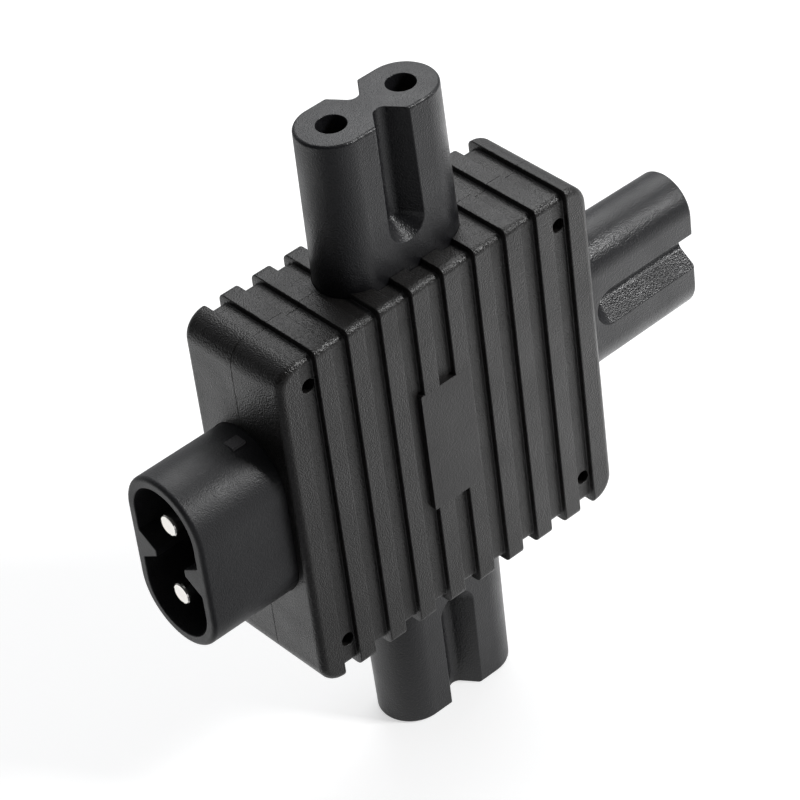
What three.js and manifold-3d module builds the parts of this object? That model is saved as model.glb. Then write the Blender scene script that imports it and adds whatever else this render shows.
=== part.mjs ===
// Power cord splitter: one figure-8 pin inlet feeds three figure-8 outlets on a ribbed block.
// Millimetres, +Z up. The ribbed front faces -Y and the inlet points to -X.
// The origin is the centre of the lower outlet's end face, on which the splitter stands.

import * as THREE from 'three';
import { mergeVertices } from 'three/addons/utils/BufferGeometryUtils.js';
import Module from 'manifold-3d';

const wasm = await Module();
wasm.setup();

// Figure-8 coupler sizes shared by pins, sleeves, noses and shroud
const PIN_PITCH = 8.6;
const PIN_DIAMETER = 2.36;
const LOBE_RADIUS = 3.65;

// Block
const BLOCK_WIDTH = 39.4;
const BLOCK_HEIGHT = 39.4;
const BLOCK_DEPTH = 13.9;
const CORNER_RADIUS = 2.6;
const EDGE_RADIUS = 0.8;
const SHELL_WALL = 1.6;

// Grooves that leave the raised ribs, between two wider edge lands
const GROOVE_COUNT = 9;
const GROOVE_WIDTH = 2.0;
const GROOVE_DEPTH = 0.62;
const EDGE_LAND = 2.7;

// Closing posts at the four corners of the block
const CORNER_HOLE_DIAMETER = 1.45;
const CORNER_HOLE_INSET = 3.75;
const BOSS_DIAMETER = 4.4;
const POST_DIAMETER = 2.3;
const POST_LENGTH = 3.2;
const POST_END_CLEARANCE = 0.15;

// Outlet noses
const NOSE_LENGTH = 16.6;
const NOSE_DRAFT = 0.2;
const NOSE_EDGE_RADIUS = 0.35;
const NOTCH_HALF_WIDTH = 2.1;
const NOTCH_DEPTH = 2.2;
const NOTCH_FLOOR_RADIUS = 1.0;
const NOTCH_RUN_OUT = 4.9;
const MOUTH_CLEARANCE = 0.3;
const MOUTH_LENGTH = 2.4;

// Inlet shroud
const SHROUD_LENGTH = 10.5;
const SHROUD_GAP = 0.7;
const SHROUD_WALL = 1.15;
const SHROUD_EDGE_RADIUS = 0.5;
const SHROUD_FLOOR = 0.5;
const KEY_BASE_HALF_WIDTH = 1.75;
const KEY_TIP_HALF_WIDTH = 0.4;
const KEY_CLEARANCE = 0.65;
const PIN_SETBACK = 0.5;
const PIN_TIP_RADIUS = 0.3;

// Collars that the two shells close on
const COLLAR_MARGIN = 1.4;
const COLLAR_THICKNESS = 1.6;
const COLLAR_CORNER_RADIUS = 1.0;
const COLLAR_CLEARANCE = 0.15;
const LEDGE_THICKNESS = 1.1;
const LEDGE_CLEARANCE = 0.65;
const OPENING_CLEARANCE = 0.06;

// Contacts
const SLEEVE_WALL = 0.35;
const SLEEVE_GRIP = 0.17;
const SLEEVE_LENGTH = 10.5;
const SLEEVE_SLOT_ANGLE = 0.7;
const BORE_CLEARANCE = 0.3;
const TAIL_WIDTH = 1.6;
const TAIL_THICKNESS = 0.5;
const TAIL_LAP = 2.5;
const TAIL_ROOT = 2.0;
const FLANGE_MARGIN = 0.52;
const FLANGE_THICKNESS = 1.0;
const FIT_CLEARANCE = 0.05;

// Bus strips and the plate between them
const STRIP_WIDTH = 2.4;
const STRIP_THICKNESS = 0.8;
const STRIP_END_CLEARANCE = 1.1;
const PLATE_HALF_SIZE = 11.5;
const PLATE_THICKNESS = 1.6;
const PLATE_CHAMFER = 1.5;
const RIVET_DIAMETER = 1.6;
const RIVET_HEAD_DIAMETER = 3.2;
const RIVET_HEAD_HEIGHT = 0.6;
const SUPPORT_DIAMETER = 2.4;
const SUPPORT_INSET = 2.0;

// Overlap of forms that are joined, and overrun of forms that only cut
const JOIN_OVERLAP = 0.1;
const CUT_OVERRUN = 1.0;

// Facets of round shapes
const ARC_STEPS = 8;
const CORNER_STEPS = 4;
const EDGE_STEPS = 3;
const ROUND_SIDES = 24;
const SMALL_SIDES = 16;

// Sizes that follow
const pinOffset = PIN_PITCH / 2;
const pinRadius = PIN_DIAMETER / 2;
const halfWidth = BLOCK_WIDTH / 2;
const halfHeight = BLOCK_HEIGHT / 2;
const halfDepth = BLOCK_DEPTH / 2;
const cavityHalfDepth = halfDepth - SHELL_WALL;
const shellRoot = cavityHalfDepth + JOIN_OVERLAP;
const sleeveInnerRadius = pinRadius + SLEEVE_GRIP;
const sleeveRadius = sleeveInnerRadius + SLEEVE_WALL;
const boreRadius = sleeveRadius + BORE_CLEARANCE;
const collarTop = -(SHELL_WALL + COLLAR_CLEARANCE);
const collarBottom = collarTop - COLLAR_THICKNESS;
const ledgeTop = collarBottom - COLLAR_CLEARANCE;
const ledgeBottom = ledgeTop - LEDGE_THICKNESS;
const collarHalfDepth = cavityHalfDepth - COLLAR_CLEARANCE;
const noseRootRadius = LOBE_RADIUS + NOSE_DRAFT;
const shroudInnerRadius = LOBE_RADIUS + SHROUD_GAP;
const shroudRadius = shroudInnerRadius + SHROUD_WALL;
const keyTip = LOBE_RADIUS - NOTCH_DEPTH + KEY_CLEARANCE;
const stripInner = sleeveRadius + FIT_CLEARANCE;
const stripOuter = stripInner + STRIP_THICKNESS;
const stripEnd = ledgeBottom - STRIP_END_CLEARANCE;
const tailEnd = stripEnd - TAIL_LAP;
const ledgeTip = stripOuter + LEDGE_CLEARANCE;
const supportOffset = PLATE_HALF_SIZE - SUPPORT_INSET;
const groovesHalfSpan = halfWidth - EDGE_LAND - GROOVE_WIDTH / 2;
const groovePitch = (2 * groovesHalfSpan) / (GROOVE_COUNT - 1);
const blockCentre = halfHeight + NOSE_LENGTH;

const X = new THREE.Vector3(1, 0, 0);
const Y = new THREE.Vector3(0, 1, 0);
const Z = new THREE.Vector3(0, 0, 1);

// Solids: closed meshes that can be joined and cut

function toSolid(geometry) {
  const plain = geometry.index ? geometry.toNonIndexed() : geometry.clone();
  plain.deleteAttribute('normal');
  plain.deleteAttribute('uv');
  const merged = mergeVertices(plain, 1e-5);
  const corners = merged.index.array;
  const kept = [];
  for (let i = 0; i < corners.length; i += 3) {
    const [a, b, c] = corners.slice(i, i + 3);
    if (a !== b && b !== c && c !== a) kept.push(a, b, c);
  }
  const mesh = new wasm.Mesh({
    numProp: 3,
    vertProperties: new Float32Array(merged.attributes.position.array),
    triVerts: new Uint32Array(kept),
  });
  return new wasm.Manifold(mesh);
}

function toGeometry(solid) {
  const mesh = solid.getMesh();
  const geometry = new THREE.BufferGeometry();
  geometry.setAttribute('position', new THREE.BufferAttribute(mesh.vertProperties, 3));
  geometry.setIndex(new THREE.BufferAttribute(mesh.triVerts, 1));
  const faceted = geometry.toNonIndexed();
  faceted.computeVertexNormals();
  return faceted;
}

function join(first, ...rest) {
  return rest.reduce((whole, piece) => whole.add(piece), first);
}

function cut(first, ...rest) {
  return rest.reduce((whole, piece) => whole.subtract(piece), first);
}

// A box given by its lowest and highest corners
function boxSolid(low, high) {
  const size = high.map((value, axis) => value - low[axis]);
  const geometry = new THREE.BoxGeometry(...size);
  geometry.translate(...low.map((value, axis) => value + size[axis] / 2));
  return toSolid(geometry);
}

// A round bar along Y between two depths
function barAlongY(radius, x, z, from, to) {
  const geometry = new THREE.CylinderGeometry(radius, radius, Math.abs(to - from), SMALL_SIDES);
  geometry.translate(x, (from + to) / 2, z);
  return toSolid(geometry);
}

// A round bar along Z between two heights
function barAlongZ(radius, x, from, to) {
  const geometry = new THREE.CylinderGeometry(radius, radius, to - from, ROUND_SIDES);
  geometry.rotateX(Math.PI / 2);
  geometry.translate(x, 0, (from + to) / 2);
  return toSolid(geometry);
}

// A prism along Z from one height to another, with rounded ends where an edge radius is given
function prismGeometry(shape, from, to, edge, steps = ARC_STEPS) {
  const geometry = new THREE.ExtrudeGeometry(shape, {
    depth: to - from - 2 * edge,
    curveSegments: steps,
    bevelEnabled: edge > 0,
    bevelThickness: edge,
    bevelSize: edge,
    bevelOffset: -edge,
    bevelSegments: EDGE_STEPS,
  });
  geometry.translate(0, 0, from + edge);
  return geometry;
}

function prism(shape, from, to, edge = 0) {
  return toSolid(prismGeometry(shape, from, to, edge));
}

// A prism through the block's depth, from a shape drawn in the plane of the front
function depthPrism(shape, halfThickness, edge = 0, steps = CORNER_STEPS) {
  const geometry = prismGeometry(shape, -halfThickness, halfThickness, edge, steps);
  geometry.applyMatrix4(new THREE.Matrix4().makeBasis(X, Z, Y.clone().negate()));
  return toSolid(geometry);
}

// Two round lobes joined by straight sides: the outline of every figure-8 piece
function stadium(radius) {
  const shape = new THREE.Shape();
  shape.absarc(pinOffset, 0, radius, -Math.PI / 2, Math.PI / 2, false);
  shape.absarc(-pinOffset, 0, radius, Math.PI / 2, 1.5 * Math.PI, false);
  shape.closePath();
  return shape;
}

function roundedRectangle(halfU, halfV, radius) {
  const shape = new THREE.Shape();
  const u = halfU - radius;
  const v = halfV - radius;
  shape.absarc(u, v, radius, 0, Math.PI / 2, false);
  shape.absarc(-u, v, radius, Math.PI / 2, Math.PI, false);
  shape.absarc(-u, -v, radius, Math.PI, 1.5 * Math.PI, false);
  shape.absarc(u, -v, radius, 1.5 * Math.PI, 2 * Math.PI, false);
  shape.closePath();
  return shape;
}

// Block: the outer form, its grooves and its hollow

function blockForm() {
  return depthPrism(
    roundedRectangle(halfWidth, halfHeight, CORNER_RADIUS), halfDepth, EDGE_RADIUS);
}

// A groove runs right round the block: front, top, back and bottom
function grooveRing(x) {
  const reachY = halfDepth + CUT_OVERRUN;
  const reachZ = halfHeight + CUT_OVERRUN;
  const ring = new THREE.Shape();
  ring.moveTo(-reachY, -reachZ);
  ring.lineTo(reachY, -reachZ);
  ring.lineTo(reachY, reachZ);
  ring.lineTo(-reachY, reachZ);
  ring.closePath();
  const floor = roundedRectangle(halfDepth - GROOVE_DEPTH, halfHeight - GROOVE_DEPTH, EDGE_RADIUS);
  ring.holes.push(floor);
  const geometry = prismGeometry(ring, x - GROOVE_WIDTH / 2, x + GROOVE_WIDTH / 2, 0, EDGE_STEPS);
  geometry.applyMatrix4(new THREE.Matrix4().makeBasis(Y, Z, X));
  return toSolid(geometry);
}

function ribbedBlock() {
  let block = blockForm();
  for (let i = 0; i < GROOVE_COUNT; i += 1) {
    block = block.subtract(grooveRing(-groovesHalfSpan + i * groovePitch));
  }
  return block;
}

function blockHollow() {
  const inner = roundedRectangle(
    halfWidth - SHELL_WALL, halfHeight - SHELL_WALL, CORNER_RADIUS - SHELL_WALL);
  return depthPrism(inner, cavityHalfDepth);
}

// The four sides of the block. A side's own +Z points out of the block from its side face.
const sides = {
  top: { turn: 0, place: [0, 0, halfHeight] },
  right: { turn: Math.PI / 2, place: [halfWidth, 0, 0] },
  bottom: { turn: Math.PI, place: [0, 0, -halfHeight] },
  inlet: { turn: -Math.PI / 2, place: [-halfWidth, 0, 0] },
};

function sideMatrix(side) {
  const matrix = new THREE.Matrix4().makeRotationY(side.turn);
  matrix.setPosition(...side.place);
  return matrix;
}

function onSide(solid, side) {
  return solid.transform(sideMatrix(side).toArray());
}

function sideOpening(radius) {
  return prism(
    stadium(radius + OPENING_CLEARANCE), collarTop - COLLAR_CLEARANCE, CUT_OVERRUN);
}

// A bar across the shell that stops a collar from moving inwards
function sideLedge(halfLength, depthSign) {
  const y = [depthSign * ledgeTip, depthSign * shellRoot].sort((a, b) => a - b);
  return boxSolid([-halfLength, y[0], ledgeBottom], [halfLength, y[1], ledgeTop]);
}

const corners = [[-1, -1], [1, -1], [-1, 1], [1, 1]].map(([u, v]) => ({
  x: u * groovesHalfSpan,
  z: v * (halfHeight - CORNER_HOLE_INSET),
  supportX: u * supportOffset,
  supportZ: v * supportOffset,
}));

// One half of the block, on the side of Y that depthSign gives, with all but its posts
function shellHalf(depthSign) {
  const reach = Math.max(halfWidth, halfHeight) + CUT_OVERRUN;
  const far = depthSign * (halfDepth + CUT_OVERRUN);
  const half = depthSign < 0
    ? boxSolid([-reach, far, -reach], [reach, 0, reach])
    : boxSolid([-reach, 0, -reach], [reach, far, reach]);
  let shell = ribbedBlock().intersect(half).subtract(blockHollow());
  const root = depthSign * shellRoot;
  for (const corner of corners) {
    const boss = barAlongY(BOSS_DIAMETER / 2, corner.x, corner.z, 0, root);
    const support = barAlongY(
      SUPPORT_DIAMETER / 2, corner.supportX, corner.supportZ,
      depthSign * (PLATE_THICKNESS / 2 + FIT_CLEARANCE), root);
    shell = join(shell, boss, support);
  }
  for (const side of Object.values(sides)) {
    const radius = side === sides.inlet ? shroudRadius : noseRootRadius;
    shell = shell.subtract(onSide(sideOpening(radius), side));
    shell = shell.add(onSide(sideLedge(pinOffset + radius, depthSign), side));
  }
  return shell;
}

function frontShell() {
  const socketRadius = POST_DIAMETER / 2 + FIT_CLEARANCE;
  const socketDepth = POST_LENGTH + POST_END_CLEARANCE;
  let shell = shellHalf(-1);
  for (const corner of corners) {
    const socket = barAlongY(socketRadius, corner.x, corner.z, CUT_OVERRUN, -socketDepth);
    const hole = barAlongY(
      CORNER_HOLE_DIAMETER / 2, corner.x, corner.z, CUT_OVERRUN, -halfDepth - CUT_OVERRUN);
    shell = cut(shell, socket, hole);
  }
  return shell;
}

function rearShell() {
  let shell = shellHalf(1);
  for (const corner of corners) {
    shell = shell.add(barAlongY(
      POST_DIAMETER / 2, corner.x, corner.z, BOSS_DIAMETER / 2, -POST_LENGTH));
  }
  return shell;
}

// Notch of a nose: a V groove with a round floor that runs out in a round end

function notchProfile() {
  const centreDepth = NOTCH_DEPTH - NOTCH_FLOOR_RADIUS;
  const toCentre = Math.hypot(NOTCH_HALF_WIDTH, centreDepth);
  const wallAngle = Math.atan2(centreDepth, NOTCH_HALF_WIDTH)
    + Math.asin(NOTCH_FLOOR_RADIUS / toCentre);
  const topHalfWidth = NOTCH_HALF_WIDTH + CUT_OVERRUN / Math.tan(wallAngle);
  const points = [
    new THREE.Vector2(0, CUT_OVERRUN),
    new THREE.Vector2(topHalfWidth, CUT_OVERRUN),
  ];
  const floorAngle = Math.PI / 2 - wallAngle;
  for (let i = 0; i <= CORNER_STEPS; i += 1) {
    const angle = -floorAngle - ((Math.PI / 2 - floorAngle) * i) / CORNER_STEPS;
    points.push(new THREE.Vector2(
      i === CORNER_STEPS ? 0 : NOTCH_FLOOR_RADIUS * Math.cos(angle),
      -centreDepth + NOTCH_FLOOR_RADIUS * Math.sin(angle)));
  }
  return points;
}

function notchCutter() {
  const half = notchProfile();
  const mirrored = half.slice(1, -1).reverse().map((point) => new THREE.Vector2(-point.x, point.y));
  const across = new THREE.Shape([...half.slice(1), ...mirrored]);
  const groove = prism(across, NOTCH_RUN_OUT, NOSE_LENGTH + CUT_OVERRUN);
  const roundEnd = new THREE.LatheGeometry(half.slice().reverse(), ROUND_SIDES);
  roundEnd.translate(0, 0, NOTCH_RUN_OUT);
  return groove.add(toSolid(roundEnd)).translate(0, LOBE_RADIUS, 0);
}

// The collar that holds a connector in the shells, for a connector of a given lobe radius
function collarRing(radius) {
  const halfLength = pinOffset + radius + COLLAR_MARGIN;
  const outline = roundedRectangle(halfLength, collarHalfDepth, COLLAR_CORNER_RADIUS);
  return prism(outline, collarBottom, collarTop);
}

// Outlet: nose with notches, collar, socket mouths and the bores behind them

// The nose grows by its draft from its end face to a short straight neck in the block
function draftedNose() {
  const nose = prismGeometry(stadium(LOBE_RADIUS), 0, NOSE_LENGTH, NOSE_EDGE_RADIUS);
  const neck = prismGeometry(
    stadium(noseRootRadius), collarBottom, NOSE_EDGE_RADIUS + JOIN_OVERLAP, 0);
  const places = nose.attributes.position;
  for (let i = 0; i < places.count; i += 1) {
    const growth = (NOSE_DRAFT * (1 - places.getZ(i) / NOSE_LENGTH)) / LOBE_RADIUS;
    const lobeX = THREE.MathUtils.clamp(places.getX(i), -pinOffset, pinOffset);
    const across = places.getX(i) - lobeX;
    places.setXY(i, lobeX + across * (1 + growth), places.getY(i) * (1 + growth));
  }
  return toSolid(nose).add(toSolid(neck));
}

function outletBody() {
  const nose = draftedNose();
  const collar = collarRing(LOBE_RADIUS);
  const notch = notchCutter();
  let body = cut(nose.add(collar), notch, notch.rotate([0, 0, 180]));
  const mouthBottom = NOSE_LENGTH - MOUTH_LENGTH;
  for (const x of [-pinOffset, pinOffset]) {
    const mouth = barAlongZ(
      pinRadius + MOUTH_CLEARANCE, x, mouthBottom - JOIN_OVERLAP, NOSE_LENGTH + CUT_OVERRUN);
    const bore = barAlongZ(boreRadius, x, collarBottom - CUT_OVERRUN, mouthBottom);
    body = cut(body, mouth, bore);
  }
  return body;
}

// Inlet: shroud round the pins, with two keys, a floor and a collar

function keyBar(depthSign) {
  const root = shroudInnerRadius + SHROUD_WALL / 2;
  const slope = (KEY_BASE_HALF_WIDTH - KEY_TIP_HALF_WIDTH) / (shroudInnerRadius - keyTip);
  const rootHalfWidth = KEY_BASE_HALF_WIDTH + slope * (root - shroudInnerRadius);
  const shape = new THREE.Shape();
  shape.moveTo(-rootHalfWidth, root);
  shape.lineTo(-KEY_TIP_HALF_WIDTH, keyTip);
  shape.lineTo(KEY_TIP_HALF_WIDTH, keyTip);
  shape.lineTo(rootHalfWidth, root);
  shape.closePath();
  const key = prism(shape, 0, SHROUD_LENGTH);
  return depthSign < 0 ? key.rotate([0, 0, 180]) : key;
}

function inletBody() {
  const bottom = collarTop - JOIN_OVERLAP;
  const shroud = prism(stadium(shroudRadius), bottom, SHROUD_LENGTH, SHROUD_EDGE_RADIUS);
  const foot = prism(stadium(shroudRadius), bottom, SHROUD_FLOOR);
  const collar = collarRing(shroudRadius);
  const hollow = prism(
    stadium(shroudInnerRadius), SHROUD_FLOOR, SHROUD_LENGTH + CUT_OVERRUN);
  let body = join(cut(join(shroud, foot), hollow), collar, keyBar(1), keyBar(-1));
  for (const x of [-pinOffset, pinOffset]) {
    body = body.subtract(barAlongZ(
      pinRadius + FIT_CLEARANCE, x, collarBottom - CUT_OVERRUN, SHROUD_FLOOR + CUT_OVERRUN));
  }
  return body;
}

// Pin: rounded tip, shank, seating flange and a tang that lies on its bus strip

function inletPin(depthSign) {
  const tip = SHROUD_LENGTH - PIN_SETBACK;
  const flangeTop = collarBottom - FIT_CLEARANCE;
  const flangeBottom = flangeTop - FLANGE_THICKNESS;
  const flangeRadius = pinRadius + FLANGE_MARGIN;
  const outline = [
    new THREE.Vector2(0, flangeBottom),
    new THREE.Vector2(flangeRadius, flangeBottom),
    new THREE.Vector2(flangeRadius, flangeTop),
    new THREE.Vector2(pinRadius, flangeTop),
  ];
  for (let i = 0; i <= EDGE_STEPS; i += 1) {
    const angle = ((Math.PI / 2) * i) / EDGE_STEPS;
    outline.push(new THREE.Vector2(
      pinRadius - PIN_TIP_RADIUS * (1 - Math.cos(angle)),
      tip - PIN_TIP_RADIUS * (1 - Math.sin(angle))));
  }
  outline.push(new THREE.Vector2(0, tip));
  const turned = new THREE.LatheGeometry(outline, ROUND_SIDES);
  turned.rotateX(Math.PI / 2);
  const y = [depthSign * sleeveRadius, depthSign * (sleeveRadius - TAIL_THICKNESS)];
  y.sort((a, b) => a - b);
  const tang = boxSolid(
    [-TAIL_WIDTH / 2, y[0], tailEnd], [TAIL_WIDTH / 2, y[1], flangeBottom + JOIN_OVERLAP]);
  return toSolid(turned).add(tang);
}

// Sleeve: a split spring tube with a flat tail that lies on its bus strip

function outletSleeve(depthSign) {
  const top = NOSE_LENGTH - MOUTH_LENGTH - BORE_CLEARANCE;
  const bottom = top - SLEEVE_LENGTH;
  const middle = depthSign * (Math.PI / 2);
  const start = middle - SLEEVE_SLOT_ANGLE / 2;
  const end = middle + SLEEVE_SLOT_ANGLE / 2;
  const ring = new THREE.Shape();
  ring.absarc(0, 0, sleeveRadius, end, start, false);
  ring.absarc(0, 0, sleeveInnerRadius, start, end, true);
  ring.closePath();
  const tube = prism(ring, bottom, top);
  const y = [-depthSign * sleeveRadius, -depthSign * (sleeveRadius - TAIL_THICKNESS)];
  y.sort((a, b) => a - b);
  const tail = boxSolid(
    [-TAIL_WIDTH / 2, y[0], tailEnd], [TAIL_WIDTH / 2, y[1], bottom + TAIL_ROOT]);
  return tube.add(tail);
}

// Bus strip: a flat cross that links one pole of all four sides

function busStrip(crossX, crossZ, depthSign) {
  const armX = halfWidth + stripEnd;
  const armZ = halfHeight + stripEnd;
  const half = STRIP_WIDTH / 2;
  const y = [depthSign * stripInner, depthSign * stripOuter].sort((a, b) => a - b);
  const upright = boxSolid([crossX - half, y[0], -armZ], [crossX + half, y[1], armZ]);
  const level = boxSolid([-armX, y[0], crossZ - half], [armX, y[1], crossZ + half]);
  const hole = barAlongY(
    RIVET_DIAMETER / 2 + FIT_CLEARANCE, crossX, crossZ,
    depthSign * (stripInner - CUT_OVERRUN), depthSign * (stripOuter + CUT_OVERRUN));
  return cut(join(upright, level), hole);
}

// Insulating plate: keeps the strips apart and holds each on a riveted spigot

function insulatingPlate() {
  const size = PLATE_HALF_SIZE;
  const inset = size - PLATE_CHAMFER;
  const outline = new THREE.Shape();
  outline.moveTo(size, inset);
  outline.lineTo(inset, size);
  outline.lineTo(-inset, size);
  outline.lineTo(-size, inset);
  outline.lineTo(-size, -inset);
  outline.lineTo(-inset, -size);
  outline.lineTo(inset, -size);
  outline.lineTo(size, -inset);
  outline.closePath();
  let plate = depthPrism(outline, PLATE_THICKNESS / 2);
  for (const depthSign of [-1, 1]) {
    const x = depthSign * pinOffset;
    const z = -depthSign * pinOffset;
    const headBottom = stripOuter + FIT_CLEARANCE;
    const seat = barAlongY(
      RIVET_HEAD_DIAMETER / 2, x, z, 0, depthSign * (stripInner - FIT_CLEARANCE));
    const spigot = barAlongY(
      RIVET_DIAMETER / 2, x, z, 0, depthSign * (headBottom + RIVET_HEAD_HEIGHT));
    const head = barAlongY(
      RIVET_HEAD_DIAMETER / 2, x, z,
      depthSign * headBottom, depthSign * (headBottom + RIVET_HEAD_HEIGHT));
    plate = join(plate, seat, spigot, head);
  }
  return plate;
}

// Materials

const blockPlastic = { color: 0x2c2a29, roughness: 0.72, metalness: 0 };
const connectorPlastic = { color: 0x2a2a2d, roughness: 0.6, metalness: 0 };
const innerPlastic = { color: 0xb9b3a4, roughness: 0.6, metalness: 0 };
const nickel = { color: 0xcfcac0, roughness: 0.22, metalness: 1 };
const brass = { color: 0xb98d4a, roughness: 0.35, metalness: 1 };

// Assembly

const splitter = new THREE.Group();
splitter.position.set(0, 0, blockCentre);

function addPiece(name, solid, finish, parent = splitter) {
  const mesh = new THREE.Mesh(toGeometry(solid), new THREE.MeshStandardMaterial(finish));
  mesh.name = name;
  parent.add(mesh);
  return mesh;
}

function sideGroup(side) {
  const group = new THREE.Group();
  group.position.set(...side.place);
  group.rotation.y = side.turn;
  splitter.add(group);
  return group;
}

// The front strip takes the pins and sleeves at the block's left and upper pin places,
// the rear strip those at the right and lower ones
function poleOffset(side, depthSign) {
  const reversed = side === sides.bottom || side === sides.inlet;
  return (reversed ? -1 : 1) * depthSign * pinOffset;
}

addPiece('front_shell', frontShell(), blockPlastic);
addPiece('rear_shell', rearShell(), blockPlastic);

const inletGroup = sideGroup(sides.inlet);
addPiece('inlet_shroud', inletBody(), connectorPlastic, inletGroup);
const upperPin = addPiece('inlet_pin_upper', inletPin(-1), nickel, inletGroup);
const lowerPin = addPiece('inlet_pin_lower', inletPin(1), nickel, inletGroup);
upperPin.position.x = poleOffset(sides.inlet, -1);
lowerPin.position.x = poleOffset(sides.inlet, 1);

for (const place of ['top', 'right', 'bottom']) {
  const side = sides[place];
  const group = sideGroup(side);
  addPiece(`outlet_${place}`, outletBody(), connectorPlastic, group);
  const frontSleeve = addPiece(`sleeve_${place}_front`, outletSleeve(1), brass, group);
  const rearSleeve = addPiece(`sleeve_${place}_rear`, outletSleeve(-1), brass, group);
  frontSleeve.position.x = poleOffset(side, -1);
  rearSleeve.position.x = poleOffset(side, 1);
}

addPiece('bus_strip_front', busStrip(-pinOffset, pinOffset, -1), brass);
addPiece('bus_strip_rear', busStrip(pinOffset, -pinOffset, 1), brass);
addPiece('insulating_plate', insulatingPlate(), innerPlastic);

export default splitter;
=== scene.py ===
# Power cord splitter: a ribbed black block with a figure-8 pin inlet and three figure-8 outlets.
# Shapes are drawn in millimetres from the middle of the block and placed in metres at the end.

import math

import bmesh
import bpy
from mathutils import Matrix, Vector


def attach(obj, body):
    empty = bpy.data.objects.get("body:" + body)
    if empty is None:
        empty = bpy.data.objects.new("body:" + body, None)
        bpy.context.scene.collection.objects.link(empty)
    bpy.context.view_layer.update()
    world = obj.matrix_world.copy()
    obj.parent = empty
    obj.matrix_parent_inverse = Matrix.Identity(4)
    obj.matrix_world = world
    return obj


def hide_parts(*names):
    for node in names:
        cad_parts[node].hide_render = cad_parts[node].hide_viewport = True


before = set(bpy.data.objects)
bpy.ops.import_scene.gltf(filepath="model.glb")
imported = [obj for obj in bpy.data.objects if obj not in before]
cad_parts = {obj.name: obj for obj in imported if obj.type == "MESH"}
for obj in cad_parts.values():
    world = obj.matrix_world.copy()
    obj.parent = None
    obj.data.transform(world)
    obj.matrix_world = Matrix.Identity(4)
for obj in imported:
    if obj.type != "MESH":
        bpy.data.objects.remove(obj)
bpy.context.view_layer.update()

# Sizes, in millimetres

PIN_PITCH = 8.6
PIN_RADIUS = 1.18
PIN_CLEARANCE = 0.05
LOBE_RADIUS = 3.65

BLOCK_HALF = 19.7
BLOCK_HALF_DEPTH = 6.95
CORNER_RADIUS = 2.6
FRONT_ROUNDING = 0.8
WALL = 1.6

GROOVE_COUNT = 9
GROOVE_PITCH = 4.0
GROOVE_WIDTH = 2.0
GROOVE_DEPTH = 0.62

CORNER_HOLE_RADIUS = 0.725
CORNER_HOLE_X = 16.0
CORNER_HOLE_SHIFT = 0.2
CORNER_HOLE_Z = 15.95
BOSS_RADIUS = 2.2

NOSE_LENGTH = 16.6
NOSE_DRAFT = 0.2
NOSE_ROUNDING = 0.35
NOTCH_HALF_WIDTH = 2.1
NOTCH_DEPTH = 2.2
NOTCH_FLOOR_RADIUS = 1.0
NOTCH_RUN_OUT = 4.9
MOUTH_RADIUS = 1.48
MOUTH_LENGTH = 2.4
BORE_RADIUS = 2.0

SHROUD_LENGTH = 10.5
SHROUD_INNER = 4.35
SHROUD_OUTER = 5.5
SHROUD_ROUNDING = 0.5
SHROUD_FLOOR = 0.5
SHROUD_NECK_STEP = 0.3
KEY_BASE_HALF_WIDTH = 1.75
KEY_TIP_HALF_WIDTH = 0.4
KEY_TIP = 2.1
KEY_OVERLAP = 0.3

COLLAR_TOP = -1.75
COLLAR_BOTTOM = -3.35
COLLAR_MARGIN = 1.4
COLLAR_HALF_DEPTH = 5.2
COLLAR_CORNER_RADIUS = 1.0
COLLAR_OVERLAP = 0.2

OPENING_GAP = 0.06
OPENING_OVERRUN = 0.3

# Each half's share of the seam's width, and the depth at which the halves meet
SEAM_GAP = 0.018
SEAM_DEPTH = 0.92

PLATE_LEFT = -3.5
PLATE_RIGHT = 2.84
PLATE_BOTTOM = -7.05
PLATE_TOP = 7.15
PLATE_CORNER = 0.12
PLATE_RISE = 0.02
PLATE_ROUNDING = 0.05

PAD_FROM_BLOCK = 0.85
PAD_LENGTH = 1.6
PAD_FRONT = -1.7
PAD_BACK = -0.3
PAD_RISE = 0.05
PAD_SINK = 0.6

# Overlap of forms that are joined, and overrun of forms that only cut
OVERLAP = 0.1
OVERRUN = 1.0

# Softness of sharp edges, and the seam edges' share of it
EDGE_SOFTNESS = 0.11
NOSE_SOFTNESS = 0.09
SHROUD_SOFTNESS = 0.12
PAD_SOFTNESS = 0.05
SEAM_SHARE = 0.4
SOFT_SEGMENTS = 3

# Angles in degrees: an edge is sharp from the first on and shaded sharp from the second on
SHARP_ANGLE = 28
SHADED_ANGLE = 40

# Weight of large faces in the shading, where 50 is even
NORMAL_WEIGHT = 50

# Margins that tell which edges stay sharp
INSIDE_MARGIN = 0.2
OPENING_REACH = 0.5
OPENING_MARGIN = 0.02
MEETING_MARGIN = 0.05
SEAM_MARGIN = 0.01
PLATE_ROOT = 0.1
ROOT_HEIGHT = 0.3

# Facets of round shapes
LOBE_STEPS = 40
OPENING_STEPS = 22
CORNER_STEPS = 10
INNER_CORNER_STEPS = 4
EDGE_STEPS = 8
NOSE_EDGE_STEPS = 6
NOTCH_STEPS = 8
ROUND_SIDES = 48
BAR_SIDES = 32

# Radius of a ring that closes on its axis, and distances within which points are one
AXIS_RADIUS = 1e-4
SAME_POINT = 1e-5
NEAR_POINT = 2e-3

pin_offset = PIN_PITCH / 2
cavity_half = BLOCK_HALF - WALL
cavity_half_depth = BLOCK_HALF_DEPTH - WALL
meeting_half = BLOCK_HALF - SEAM_DEPTH
block_height = BLOCK_HALF + NOSE_LENGTH
to_metres = Matrix.Scale(0.001, 4) @ Matrix.Translation((0, 0, block_height))

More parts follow.
